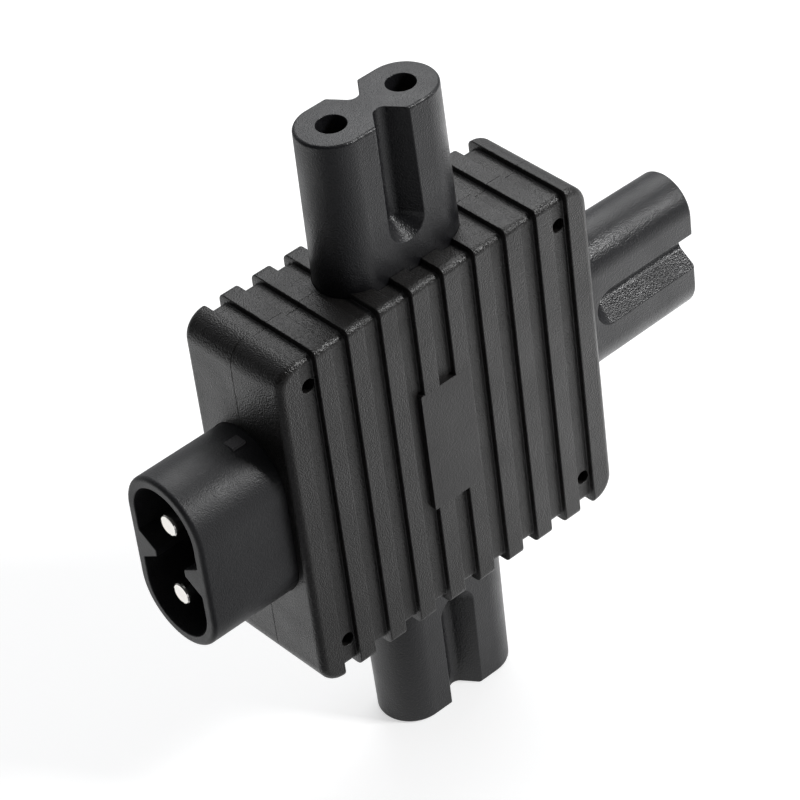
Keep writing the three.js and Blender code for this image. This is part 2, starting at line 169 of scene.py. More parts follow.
# The four sides. A side's own Z points out of the block from the middle of its side face.
SIDES = {
    "top": Matrix.Translation((0, 0, BLOCK_HALF)),
    "right": Matrix.Translation((BLOCK_HALF, 0, 0)) @ Matrix.Rotation(math.pi / 2, 4, "Y"),
    "bottom": Matrix.Translation((0, 0, -BLOCK_HALF)) @ Matrix.Rotation(math.pi, 4, "Y"),
    "inlet": Matrix.Translation((-BLOCK_HALF, 0, 0)) @ Matrix.Rotation(-math.pi / 2, 4, "Y"),
}


# Camera: sensor and lens in millimetres, place in metres, and the directions of its own axes

CAMERA_SENSOR = 36.0
CAMERA_LENS = 167.408
CAMERA_NEAR = 0.01
CAMERA_FAR = 20
CAMERA_PLACE = (-0.171054, -0.224922, 0.265440)
CAMERA_RIGHT = (0.7385774, -0.6658842, -0.1053644)
CAMERA_UP = (0.4835760, 0.4143686, 0.7710078)
CAMERA_BACK = (-0.4697422, -0.6204006, 0.6280489)


def make_camera():
    data = bpy.data.cameras.new("camera")
    data.sensor_fit = "HORIZONTAL"
    data.sensor_width = CAMERA_SENSOR
    data.lens = CAMERA_LENS
    data.clip_start = CAMERA_NEAR
    data.clip_end = CAMERA_FAR
    camera = bpy.data.objects.new("camera", data)
    turn = Matrix((CAMERA_RIGHT, CAMERA_UP, CAMERA_BACK)).transposed().to_4x4()
    camera.matrix_world = Matrix.Translation(CAMERA_PLACE) @ turn
    bpy.context.scene.collection.objects.link(camera)
    bpy.context.scene.camera = camera


make_camera()


# Mesh making

def new_object(name, verts, faces):
    mesh = bpy.data.meshes.new(name)
    mesh.from_pydata([tuple(v) for v in verts], [], faces)
    mesh.update()
    piece = bpy.data.objects.new(name, mesh)
    bpy.context.scene.collection.objects.link(piece)
    recalculate(mesh)
    return piece


def recalculate(mesh):
    work = bmesh.new()
    work.from_mesh(mesh)
    bmesh.ops.remove_doubles(work, verts=work.verts, dist=SAME_POINT)
    bmesh.ops.recalc_face_normals(work, faces=work.faces)
    work.to_mesh(mesh)
    work.free()


def loft(name, rings):
    """A closed body through rings of equally many points, capped at both ends."""
    count = len(rings[0])
    verts = [p for ring in rings for p in ring]
    faces = [tuple(range(count)), tuple(range(len(verts) - count, len(verts)))]
    for row in range(len(rings) - 1):
        a = row * count
        b = a + count
        for i in range(count):
            j = (i + 1) % count
            faces.append((a + i, a + j, b + j, b + i))
    return new_object(name, verts, faces)


def lathe(name, outline):
    """A body turned about local Z from (radius, height) points; both ends lie on the axis."""
    rings = []
    for radius, height in outline:
        rings.append([
            (radius * math.cos(2 * math.pi * i / ROUND_SIDES),
             radius * math.sin(2 * math.pi * i / ROUND_SIDES), height)
            for i in range(ROUND_SIDES)])
    return loft(name, rings)


def arc(cx, cy, radius, start, end, steps):
    return [
        (cx + radius * math.cos(start + (end - start) * i / steps),
         cy + radius * math.sin(start + (end - start) * i / steps))
        for i in range(steps + 1)]


def stadium(radius, steps=LOBE_STEPS):
    quarter = math.pi / 2
    return (arc(pin_offset, 0, radius, -quarter, quarter, steps)
            + arc(-pin_offset, 0, radius, quarter, 3 * quarter, steps))


def rounded_rectangle(half_u, half_v, radius, steps=CORNER_STEPS):
    quarter = math.pi / 2
    u, v = half_u - radius, half_v - radius
    points = []
    for i, (su, sv) in enumerate([(1, 1), (-1, 1), (-1, -1), (1, -1)]):
        points += arc(su * u, sv * v, radius, i * quarter, (i + 1) * quarter, steps)
    return points


def prism(name, outline, low, high):
    return loft(name, [[(x, y, z) for x, y in outline] for z in (low, high)])


def depth_prism(name, outline, low, high):
    """A prism through the block's depth from points of the front's plane."""
    return loft(name, [[(x, y, z) for x, z in outline] for y in (low, high)])


def box(name, low, high):
    outline = [(low[0], low[1]), (high[0], low[1]), (high[0], high[1]), (low[0], high[1])]
    return prism(name, outline, low[2], high[2])


def moved(piece, matrix):
    piece.data.transform(matrix)
    if matrix.determinant() < 0:
        piece.data.flip_normals()
    return piece


def evaluated(piece):
    """Replaces a piece's mesh by what its modifiers make of it."""
    graph = bpy.context.evaluated_depsgraph_get()
    mesh = bpy.data.meshes.new_from_object(piece.evaluated_get(graph))
    piece.modifiers.clear()
    old = piece.data
    piece.data = mesh
    bpy.data.meshes.remove(old)
    return piece


def combine(piece, operation, other):
    """Joins another body to a piece or cuts it from the piece, and removes it."""
    step = piece.modifiers.new(operation, "BOOLEAN")
    step.operation = operation
    step.solver = "EXACT"
    step.object = other
    evaluated(piece)
    bpy.data.objects.remove(other)


def join(piece, other):
    combine(piece, "UNION", other)


def cut(piece, other):
    combine(piece, "DIFFERENCE", other)


def soften(piece, width, share_of=None):
    """Rounds the piece's sharp edges. share_of gives an edge's share of the width from its middle."""
    work = bmesh.new()
    work.from_mesh(piece.data)
    bmesh.ops.remove_doubles(work, verts=work.verts, dist=NEAR_POINT)
    bmesh.ops.dissolve_degenerate(work, edges=work.edges, dist=NEAR_POINT)
    layer = work.edges.layers.float.new("bevel_weight_edge")
    limit = math.radians(SHARP_ANGLE)
    for edge in work.edges:
        if len(edge.link_faces) != 2 or edge.calc_face_angle(0) < limit:
            continue
        middle = (edge.verts[0].co + edge.verts[1].co) / 2
        edge[layer] = share_of(middle) if share_of else 1.0
    work.to_mesh(piece.data)
    work.free()
    bevel = piece.modifiers.new("rounding", "BEVEL")
    bevel.limit_method = "WEIGHT"
    bevel.width = width
    bevel.segments = SOFT_SEGMENTS
    bevel.use_clamp_overlap = False
    bevel.loop_slide = True
    bevel.miter_outer = "MITER_ARC"
    return evaluated(piece)


def shade(piece):
    mesh = piece.data
    mesh.polygons.foreach_set("use_smooth", [True] * len(mesh.polygons))
    mesh.set_sharp_from_angle(angle=math.radians(SHADED_ANGLE))
    weighted = piece.modifiers.new("even_shading", "WEIGHTED_NORMAL")
    weighted.keep_sharp = True
    weighted.mode = "FACE_AREA"
    weighted.weight = NORMAL_WEIGHT
    evaluated(piece)


def place(piece, material, slot, *nodes):
    """Sets a finished piece in the frame, with its finish, and hides the nodes it stands for."""
    piece.data.transform(to_metres)
    piece.data.materials.clear()
    piece.data.materials.append(material)
    shade(piece)
    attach(piece, "root")
    if nodes:
        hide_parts(*nodes)


# Materials

def new_material(name):
    material = bpy.data.materials.new(name)
    material.use_nodes = True
    nodes = material.node_tree.nodes
    nodes.clear()
    output = nodes.new("ShaderNodeOutputMaterial")
    shader = nodes.new("ShaderNodeBsdfPrincipled")
    material.node_tree.links.new(shader.outputs["BSDF"], output.inputs["Surface"])
    return material, shader


def add_node(material, kind, **values):
    node = material.node_tree.nodes.new(kind)
    for key, value in values.items():
        if key in node.inputs:
            node.inputs[key].default_value = value
        else:
            setattr(node, key, value)
    return node


# Grain and patches of moulded plastic, as shares of its grain or in repeats per metre
TINT_GRAIN = 0.9
TINT_RANGE = (0.35, 0.65)
PATCH_SCALE = 180
PATCH_DETAIL = 4
PATCH_RANGE = (0.3, 0.7)
SHEEN_SPREAD = 0.08
GRAIN_ROUGHNESS = 0.4
NOISE_ROUGHNESS = 0.6
COARSE_GRAIN = 0.5
COARSE_DEPTH = 0.4
PLASTIC_IOR = 1.5

# Sockets of the node that mixes two colours
MIX_SHARE, MIX_FIRST, MIX_SECOND, MIX_RESULT = 0, 6, 7, 2


def calculated(tree, operation, first, second):
    """The result of a sum, difference or product of two values, each a socket or a number."""
    node = tree.nodes.new("ShaderNodeMath")
    node.operation = operation
    for value, socket in zip((first, second), node.inputs):
        if isinstance(value, bpy.types.NodeSocket):
            tree.links.new(value, socket)
        else:
            socket.default_value = value
    return node.outputs[0]


def moulded_plastic(name, dark, light, roughness, grain, grain_depth):
    """Black moulded plastic with the fine grain that a spark-eroded mould leaves."""
    material, shader = new_material(name)
    link = material.node_tree.links.new
    where = add_node(material, "ShaderNodeTexCoord").outputs["Object"]

    def noise(scale, detail, rough=NOISE_ROUGHNESS):
        node = add_node(material, "ShaderNodeTexNoise", Scale=scale, Detail=detail, Roughness=rough)
        link(where, node.inputs["Vector"])
        return node.outputs["Fac"]

    def ramp(source, low, high, bottom, top):
        node = add_node(material, "ShaderNodeMapRange")
        node.inputs["From Min"].default_value = low
        node.inputs["From Max"].default_value = high
        node.inputs["To Min"].default_value = bottom
        node.inputs["To Max"].default_value = top
        link(source, node.inputs["Value"])
        return node.outputs["Result"]

    tint = add_node(material, "ShaderNodeMix", data_type="RGBA")
    tint.inputs[MIX_FIRST].default_value = (*dark, 1)
    tint.inputs[MIX_SECOND].default_value = (*light, 1)
    link(ramp(noise(grain * TINT_GRAIN, 1), *TINT_RANGE, 0, 1), tint.inputs[MIX_SHARE])
    link(tint.outputs[MIX_RESULT], shader.inputs["Base Color"])

    patches = noise(PATCH_SCALE, PATCH_DETAIL)
    sheen = ramp(patches, *PATCH_RANGE, roughness - SHEEN_SPREAD, roughness + SHEEN_SPREAD)
    link(sheen, shader.inputs["Roughness"])

    fine = add_node(material, "ShaderNodeBump", Strength=1.0, Distance=grain_depth)
    link(noise(grain, 1, GRAIN_ROUGHNESS), fine.inputs["Height"])
    coarse = add_node(material, "ShaderNodeBump", Strength=1.0, Distance=grain_depth * COARSE_DEPTH)
    link(noise(grain * COARSE_GRAIN, 1, GRAIN_ROUGHNESS), coarse.inputs["Height"])
    link(fine.outputs["Normal"], coarse.inputs["Normal"])
    link(coarse.outputs["Normal"], shader.inputs["Normal"])
    shader.inputs["IOR"].default_value = PLASTIC_IOR
    return material


# How far a plated surface's roughness goes below and above its middle, and its fine scratches
SMOOTHER = 0.06
ROUGHER = 0.1
SCRATCH_DETAIL = 4.0
SCRATCH_STRENGTH = 0.3
SCRATCH_DEPTH = 0.000005


def plated_metal(name, colour, roughness, scratch_scale):
    material, shader = new_material(name)
    link = material.node_tree.links.new
    where = add_node(material, "ShaderNodeTexCoord").outputs["Object"]
    noise = add_node(material, "ShaderNodeTexNoise", Scale=scratch_scale, Detail=SCRATCH_DETAIL)
    link(where, noise.inputs["Vector"])
    spread = add_node(material, "ShaderNodeMapRange")
    spread.inputs["To Min"].default_value = roughness - SMOOTHER
    spread.inputs["To Max"].default_value = roughness + ROUGHER
    link(noise.outputs["Fac"], spread.inputs["Value"])
    link(spread.outputs["Result"], shader.inputs["Roughness"])
    bump = add_node(material, "ShaderNodeBump", Strength=SCRATCH_STRENGTH, Distance=SCRATCH_DEPTH)
    link(noise.outputs["Fac"], bump.inputs["Height"])
    link(bump.outputs["Normal"], shader.inputs["Normal"])
    shader.inputs["Base Color"].default_value = (*colour, 1)
    shader.inputs["Metallic"].default_value = 1.0
    return material


block_plastic = moulded_plastic(
    "block_plastic", dark=(0.0065, 0.006, 0.0056), light=(0.0145, 0.0134, 0.0128),
    roughness=0.36, grain=6500, grain_depth=0.00006)
plate_plastic = moulded_plastic(
    "plate_plastic", dark=(0.008, 0.0072, 0.0072), light=(0.0125, 0.0116, 0.0116),
    roughness=0.37, grain=6500, grain_depth=0.00003)
connector_plastic = moulded_plastic(
    "connector_plastic", dark=(0.007, 0.007, 0.0084), light=(0.013, 0.013, 0.0148),
    roughness=0.35, grain=7000, grain_depth=0.00004)
inlet_plastic = moulded_plastic(
    "inlet_plastic", dark=(0.0075, 0.0075, 0.0088), light=(0.0135, 0.0135, 0.0152),
    roughness=0.48, grain=7000, grain_depth=0.00003)
# Lighter grey than the shroud, for the small pad on the shroud's top
pad_plastic = moulded_plastic(
    "pad_plastic", dark=(0.07, 0.067, 0.07), light=(0.1, 0.096, 0.1),
    roughness=0.6, grain=7000, grain_depth=0.00004)
inner_plastic = moulded_plastic(
    "inner_plastic", dark=(0.5, 0.47, 0.4), light=(0.58, 0.55, 0.47),
    roughness=0.55, grain=4000, grain_depth=0.00001)
pin_nickel = plated_metal(
    "pin_nickel", colour=(0.84, 0.82, 0.78), roughness=0.13, scratch_scale=3000)
contact_brass = plated_metal(
    "contact_brass", colour=(0.72, 0.52, 0.26), roughness=0.34, scratch_scale=2500)


# Block

groove_sizes = {
    "Floor Depth": 2 * (BLOCK_HALF_DEPTH - GROOVE_DEPTH),
    "Floor Height": 2 * (BLOCK_HALF - GROOVE_DEPTH),
    "Floor Rounding": FRONT_ROUNDING,
    "Groove Width": GROOVE_WIDTH,
    "Reach": GROOVE_DEPTH + OVERRUN,
    "Groove Pitch": GROOVE_PITCH,
    "Groove Count": GROOVE_COUNT,
}


def groove_row_tree():
    """A closed bar swept round the block's section and repeated along the block: all the grooves."""
    tree = bpy.data.node_groups.new("groove_row", "GeometryNodeTree")
    tree.interface.new_socket(name="Geometry", in_out="OUTPUT", socket_type="NodeSocketGeometry")
    for name in groove_sizes:
        kind = "NodeSocketInt" if name == "Groove Count" else "NodeSocketFloat"
        tree.interface.new_socket(name=name, in_out="INPUT", socket_type=kind)
    nodes, link = tree.nodes, tree.links.new
    given = nodes.new("NodeGroupInput").outputs
    result = nodes.new("NodeGroupOutput")

    path = nodes.new("GeometryNodeCurvePrimitiveQuadrilateral")
    link(given["Floor Depth"], path.inputs["Width"])
    link(given["Floor Height"], path.inputs["Height"])
    rounded = nodes.new("GeometryNodeFilletCurve")
    rounded.mode = "POLY"
    link(path.outputs["Curve"], rounded.inputs["Curve"])
    rounded.inputs["Count"].default_value = CORNER_STEPS
    link(given["Floor Rounding"], rounded.inputs["Radius"])

    bar = nodes.new("GeometryNodeCurvePrimitiveQuadrilateral")
    link(given["Reach"], bar.inputs["Width"])
    link(given["Groove Width"], bar.inputs["Height"])
    half_reach = calculated(tree, "MULTIPLY", given["Reach"], 0.5)
    offset = nodes.new("ShaderNodeCombineXYZ")
    link(half_reach, offset.inputs["X"])
    shifted = nodes.new("GeometryNodeTransform")
    link(bar.outputs["Curve"], shifted.inputs["Geometry"])
    link(offset.outputs[0], shifted.inputs["Translation"])

    sweep = nodes.new("GeometryNodeCurveToMesh")
    link(rounded.outputs["Curve"], sweep.inputs["Curve"])
    link(shifted.outputs["Geometry"], sweep.inputs["Profile Curve"])
    turned = nodes.new("GeometryNodeTransform")
    turned.inputs["Rotation"].default_value = (math.pi / 2, 0, math.pi / 2)
    link(sweep.outputs["Mesh"], turned.inputs["Geometry"])

    step = nodes.new("ShaderNodeCombineXYZ")
    link(given["Groove Pitch"], step.inputs["X"])
    steps = calculated(tree, "SUBTRACT", given["Groove Count"], 1.0)
    span = calculated(tree, "MULTIPLY", steps, given["Groove Pitch"])
    first = calculated(tree, "MULTIPLY", span, -0.5)
    start = nodes.new("ShaderNodeCombineXYZ")
    link(first, start.inputs["X"])
    row = nodes.new("GeometryNodeMeshLine")
    link(given["Groove Count"], row.inputs["Count"])
    link(start.outputs[0], row.inputs["Start Location"])
    link(step.outputs[0], row.inputs["Offset"])
    copies = nodes.new("GeometryNodeInstanceOnPoints")
    link(row.outputs["Mesh"], copies.inputs["Points"])
    link(turned.outputs["Geometry"], copies.inputs["Instance"])
    real = nodes.new("GeometryNodeRealizeInstances")
    link(copies.outputs["Instances"], real.inputs["Geometry"])
    finish = nodes.new("GeometryNodeSetMaterial")
    finish.inputs["Material"].default_value = block_plastic
    link(real.outputs["Geometry"], finish.inputs["Geometry"])
    link(finish.outputs["Geometry"], result.inputs[0])
    return tree


def groove_row():
    mesh = bpy.data.meshes.new("groove_row")
    row = bpy.data.objects.new("groove_row", mesh)
    bpy.context.scene.collection.objects.link(row)
    maker = row.modifiers.new("grooves", "NODES")
    maker.node_group = groove_row_tree()
    for socket in maker.node_group.interface.items_tree:
        if socket.in_out == "INPUT":
            maker[socket.identifier] = groove_sizes[socket.name]
    evaluated(row)
    recalculate(row.data)
    return row


def half_block(name):
    """The front half of the block, before its grooves: y runs from the seam to the front face."""
    outline = rounded_rectangle(BLOCK_HALF, BLOCK_HALF, CORNER_RADIUS)
    meeting = rounded_rectangle(meeting_half, meeting_half, CORNER_RADIUS - SEAM_DEPTH)
    rings = [[(x, 0.0, z) for x, z in meeting],
             [(x, -SEAM_GAP, z) for x, z in meeting],
             [(x, -SEAM_GAP, z) for x, z in outline]]
    for i in range(EDGE_STEPS + 1):
        turn = math.pi / 2 * i / EDGE_STEPS
        inset = FRONT_ROUNDING * (1 - math.cos(turn))
        depth = BLOCK_HALF_DEPTH - FRONT_ROUNDING * (1 - math.sin(turn))
        outline = rounded_rectangle(BLOCK_HALF - inset, BLOCK_HALF - inset, CORNER_RADIUS - inset)
        rings.append([(x, -depth, z) for x, z in outline])
    return loft(name, rings)


def bar_along_y(name, radius, x, z, low, high):
    outline = [
        (x + radius * math.cos(2 * math.pi * i / BAR_SIDES),
         z + radius * math.sin(2 * math.pi * i / BAR_SIDES))
        for i in range(BAR_SIDES)]
    return depth_prism(name, outline, low, high)


def opening_radius(side):
    body = SHROUD_OUTER if side == "inlet" else LOBE_RADIUS + NOSE_DRAFT
    return body + OPENING_GAP


def borders_opening(place_at):
    """Whether a place lies on the rim of the opening round a nose or round the shroud."""
    for side, matrix in SIDES.items():
        local = matrix.inverted() @ place_at
        away = math.hypot(max(abs(local.x) - pin_offset, 0), local.y)
        if local.z > -WALL - OPENING_REACH and away < opening_radius(side) + OPENING_MARGIN:
            return True
    return False


def block_share(middle):
    """An outer edge of the block is rounded in full, a seam edge in part and the rest not at all."""
    across = max(abs(middle.x), abs(middle.z))
    depth = abs(middle.y)
    if across < cavity_half + INSIDE_MARGIN and depth < cavity_half_depth + INSIDE_MARGIN:
        return 0.0
    if borders_opening(middle):
        return 0.0
    if depth < SEAM_GAP + SEAM_MARGIN:
        return 0.0 if across < meeting_half + MEETING_MARGIN else SEAM_SHARE
    return 1.0


def shell(name, front):
    """One half of the block with its grooves, hollow, bosses, openings and holes."""
    half = half_block(name)
    outline = rounded_rectangle(cavity_half, cavity_half, CORNER_RADIUS - WALL, INNER_CORNER_STEPS)
    cut(half, groove_row())
    cut(half, depth_prism("hollow", outline, -cavity_half_depth, OVERRUN))
    for x in (-CORNER_HOLE_X, CORNER_HOLE_X):
        for z in (-CORNER_HOLE_Z, CORNER_HOLE_Z):
            join(half, bar_along_y(
                "boss", BOSS_RADIUS, x, z, -cavity_half_depth - OVERLAP, -SEAM_GAP))
            if front:
                cut(half, bar_along_y(
                    "hole", CORNER_HOLE_RADIUS, x + CORNER_HOLE_SHIFT, z,
                    -BLOCK_HALF_DEPTH - OVERRUN, OVERRUN))
    for side, matrix in SIDES.items():
        outline = stadium(opening_radius(side), OPENING_STEPS)
        opening = prism("opening", outline, -WALL - OPENING_OVERRUN, OVERRUN)
        cut(half, moved(opening, matrix))
    if not front:
        moved(half, Matrix.Scale(-1, 4, (0, 1, 0)))
        recalculate(half.data)
    return soften(half, EDGE_SOFTNESS, block_share)


def bare_plate(name):
    """The raised plate that crosses the front's middle groove, left bare."""
    half_width = (PLATE_RIGHT - PLATE_LEFT) / 2
    half_height = (PLATE_TOP - PLATE_BOTTOM) / 2
    outline = [
        (x + PLATE_LEFT + half_width, z + PLATE_BOTTOM + half_height)
        for x, z in rounded_rectangle(half_width, half_height, PLATE_CORNER, INNER_CORNER_STEPS)]
    front, floor = BLOCK_HALF_DEPTH + PLATE_RISE, BLOCK_HALF_DEPTH - GROOVE_DEPTH
    plate = depth_prism(name, outline, -front, -floor)
    return soften(
        plate, PLATE_ROUNDING, lambda middle: 0.0 if middle.y > -floor - PLATE_ROOT else 1.0)


# Outlets

def notch_profile():
    """The V of a nose's notch, from its middle above the surface down one side to its floor."""
    centre_depth = NOTCH_DEPTH - NOTCH_FLOOR_RADIUS
    slope = (math.atan2(centre_depth, NOTCH_HALF_WIDTH)
             + math.asin(NOTCH_FLOOR_RADIUS / math.hypot(NOTCH_HALF_WIDTH, centre_depth)))
    side = [(NOTCH_HALF_WIDTH + OVERRUN / math.tan(slope), OVERRUN)]
    start = slope - math.pi / 2
    for i in range(NOTCH_STEPS + 1):
        angle = start - (math.pi / 2 + start) * i / NOTCH_STEPS
        side.append((NOTCH_FLOOR_RADIUS * math.cos(angle),
                     -centre_depth + NOTCH_FLOOR_RADIUS * math.sin(angle)))
    side[-1] = (0.0, -NOTCH_DEPTH)
    return side


def notch_cutter(turned):
    side = notch_profile()
    outline = side + [(-x, y) for x, y in reversed(side[:-1])]
    groove = prism("notch", outline, NOTCH_RUN_OUT, NOSE_LENGTH + OVERRUN)
    rings = []
    for radius, height in [(AXIS_RADIUS, OVERRUN)] + side[:-1] + [(AXIS_RADIUS, -NOTCH_DEPTH)]:
        rings.append([
            (radius * math.cos(2 * math.pi * i / ROUND_SIDES), height,
             NOTCH_RUN_OUT + radius * math.sin(2 * math.pi * i / ROUND_SIDES))
            for i in range(ROUND_SIDES)])
    join(groove, loft("run_out", rings))
    moved(groove, Matrix.Translation((0, LOBE_RADIUS, 0)))
    if turned:
        moved(groove, Matrix.Rotation(math.pi, 4, "Z"))
    return groove


def collar(radius):
    half_length = pin_offset + radius + COLLAR_MARGIN
    outline = rounded_rectangle(half_length, COLLAR_HALF_DEPTH, COLLAR_CORNER_RADIUS)
    return prism("collar", outline, COLLAR_BOTTOM, COLLAR_TOP)


def root_share(middle):
    """Edges at a connector's root or inside the block stay sharp."""
    return 0.0 if middle.z < ROOT_HEIGHT else 1.0


def round_cutter(name, radius, low, high, x):
    cutter = lathe(name, [(AXIS_RADIUS, low), (radius, low), (radius, high), (AXIS_RADIUS, high)])
    return moved(cutter, Matrix.Translation((x, 0, 0)))


def outlet(name, side):
    rings = []
    root = LOBE_RADIUS + NOSE_DRAFT
    for height in (COLLAR_BOTTOM + COLLAR_OVERLAP, 0.0):
        rings.append([(x, y, height) for x, y in stadium(root)])
    for i in range(NOSE_EDGE_STEPS + 1):
        turn = math.pi / 2 * i / NOSE_EDGE_STEPS
        height = NOSE_LENGTH - NOSE_ROUNDING * (1 - math.sin(turn))
        radius = LOBE_RADIUS + NOSE_DRAFT * (1 - height / NOSE_LENGTH)
        radius -= NOSE_ROUNDING * (1 - math.cos(turn))
        rings.append([(x, y, height) for x, y in stadium(radius)])
    nose = loft(name, rings)
    join(nose, collar(LOBE_RADIUS))
    for turned in (False, True):
        cut(nose, notch_cutter(turned))
    mouth_bottom = NOSE_LENGTH - MOUTH_LENGTH
    for x in (-pin_offset, pin_offset):
        cut(nose, round_cutter(
            "mouth", MOUTH_RADIUS, mouth_bottom - OVERLAP, NOSE_LENGTH + OVERRUN, x))
        cut(nose, round_cutter("bore", BORE_RADIUS, COLLAR_BOTTOM - OVERRUN, mouth_bottom, x))
    soften(nose, NOSE_SOFTNESS, root_share)
    return moved(nose, SIDES[side])


# Inlet

def inlet(name):
    neck = stadium(SHROUD_OUTER - SHROUD_NECK_STEP)
    foot = COLLAR_TOP - OVERLAP
    rings = [[(x, y, COLLAR_BOTTOM + COLLAR_OVERLAP) for x, y in neck],
             [(x, y, foot) for x, y in neck],
             [(x, y, foot) for x, y in stadium(SHROUD_OUTER)]]
    for i in range(EDGE_STEPS + 1):
        turn = math.pi / 2 * i / EDGE_STEPS
        height = SHROUD_LENGTH - SHROUD_ROUNDING * (1 - math.sin(turn))
        radius = SHROUD_OUTER - SHROUD_ROUNDING * (1 - math.cos(turn))
        rings.append([(x, y, height) for x, y in stadium(radius)])
    shroud = loft(name, rings)
    join(shroud, collar(SHROUD_OUTER))
    cut(shroud, prism("hollow", stadium(SHROUD_INNER), SHROUD_FLOOR, SHROUD_LENGTH + OVERRUN))
    wall_middle = (SHROUD_INNER + SHROUD_OUTER) / 2
    slope = (KEY_BASE_HALF_WIDTH - KEY_TIP_HALF_WIDTH) / (SHROUD_INNER - KEY_TIP)
    root_half = KEY_BASE_HALF_WIDTH + slope * (wall_middle - SHROUD_INNER)
    for way in (-1, 1):
        outline = [(-root_half, way * wall_middle), (-KEY_TIP_HALF_WIDTH, way * KEY_TIP),
                   (KEY_TIP_HALF_WIDTH, way * KEY_TIP), (root_half, way * wall_middle)]
        join(shroud, prism("key", outline, SHROUD_FLOOR - KEY_OVERLAP, SHROUD_LENGTH))
    for x in (-pin_offset, pin_offset):
        cut(shroud, round_cutter(
            "hole", PIN_RADIUS + PIN_CLEARANCE, COLLAR_BOTTOM - OVERRUN, SHROUD_FLOOR + OVERRUN, x))
    soften(shroud, SHROUD_SOFTNESS, root_share)
    return moved(shroud, SIDES["inlet"])


def inlet_pad(name):
    """A small flat pad on top of the shroud, beside the block."""
    top = pin_offset + SHROUD_OUTER
    pad = box(name, (top - PAD_SINK, PAD_FRONT, PAD_FROM_BLOCK),
              (top + PAD_RISE, PAD_BACK, PAD_FROM_BLOCK + PAD_LENGTH))
    return moved(soften(pad, PAD_SOFTNESS), SIDES["inlet"])


# Pieces set in the frame

place(shell("block_front", True), block_plastic, "block_plastic", "front_shell")
place(shell("block_rear", False), block_plastic, "block_plastic", "rear_shell")
for side in ("top", "right", "bottom"):
    place(outlet(f"{side}_outlet", side), connector_plastic, "connector_plastic", f"outlet_{side}")
place(inlet("inlet_body"), inlet_plastic, "connector_plastic", "inlet_shroud")
place(inlet_pad("inlet_pad"), pad_plastic, "connector_plastic")
place(bare_plate("bare_plate"), plate_plastic, "block_plastic")

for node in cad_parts.values():
    if node.hide_render:
        continue
    metal = pin_nickel if "pin" in node.name else contact_brass
    finish = inner_plastic if node.name == "insulating_plate" else metal
    node.data.materials.clear()
    node.data.materials.append(finish)


# Floor and light

# Round patches of the floor: centre, radius of the full patch, radius where it has faded out. The
# first lowers the floor's glow round the object for the camera; the others are painted light and
# painted shade that only reflections see
GLOW_PATCH = ((0, 0, 0), 0.15, 0.45)
PAINTED_LIGHT_FRONT_RIGHT = ((0.090, -0.010, 0), 0.04, 0.105)
PAINTED_LIGHT_BACK_LEFT = ((-0.055, 0.045, 0), 0.035, 0.1)
PAINTED_SHADE_PATCH = ((-0.065, -0.045, 0), 0.03, 0.075)
GLOW_LOSS = 0.42
# Glow of the two patches of painted light on the floor
PAINTED_LIGHT_FRONT_STRENGTH = 1.05
PAINTED_LIGHT_BACK_STRENGTH = 0.62
# Colour of the patch of painted shade on the floor
PAINTED_SHADE_COLOUR = (0.16, 0.16, 0.17, 1)

FLOOR_HALF = 3.0
FLOOR_COLOUR = (0.67, 0.67, 0.67, 1)
FLOOR_ROUGHNESS = 0.8
FLOOR_SPECULAR = 0.1

# Light from all round: its colour, the side it comes from, and its strength away from and towards it
SKY_COLOUR = (0.95, 0.97, 1, 1)
SKY_SIDE = (0.8, 0.5, 0.3)
SKY_RANGE = (-0.25, 1.0)
SKY_STRENGTHS = (0.04, 0.6)
LAMP_AIM = (0, 0, 0.04)


def spot(tree, centre, full, none):
    """A round patch of the floor: 1 within the full radius, fading to 0 at the other."""
    where = tree.nodes.new("ShaderNodeTexCoord")
    away = tree.nodes.new("ShaderNodeVectorMath")
    away.operation = "DISTANCE"
    away.inputs[1].default_value = centre
    tree.links.new(where.outputs["Object"], away.inputs[0])
    fade = tree.nodes.new("ShaderNodeMapRange")
    fade.interpolation_type = "SMOOTHSTEP"
    fade.inputs["From Min"].default_value = full
    fade.inputs["From Max"].default_value = none
    fade.inputs["To Min"].default_value = 1.0
    fade.inputs["To Max"].default_value = 0.0
    tree.links.new(away.outputs["Value"], fade.inputs["Value"])
    return fade.outputs["Result"]


def added(tree, first, second):
    node = tree.nodes.new("ShaderNodeAddShader")
    tree.links.new(first, node.inputs[0])
    tree.links.new(second, node.inputs[1])
    return node.outputs[0]


def mixed(tree, share, first, second):
    node = tree.nodes.new("ShaderNodeMixShader")
    tree.links.new(share, node.inputs[0])
    tree.links.new(first, node.inputs[1])
    tree.links.new(second, node.inputs[2])
    return node.outputs[0]


def glowing(tree, strength):
    node = tree.nodes.new("ShaderNodeEmission")
    tree.links.new(strength, node.inputs["Strength"])
    return node.outputs["Emission"]


def seen_or_lit(tree, lit, seen):
    """What the camera sees directly, and what lights and is reflected otherwise."""
    light_path = tree.nodes.new("ShaderNodeLightPath")
    return mixed(tree, light_path.outputs["Is Camera Ray"], lit, seen)


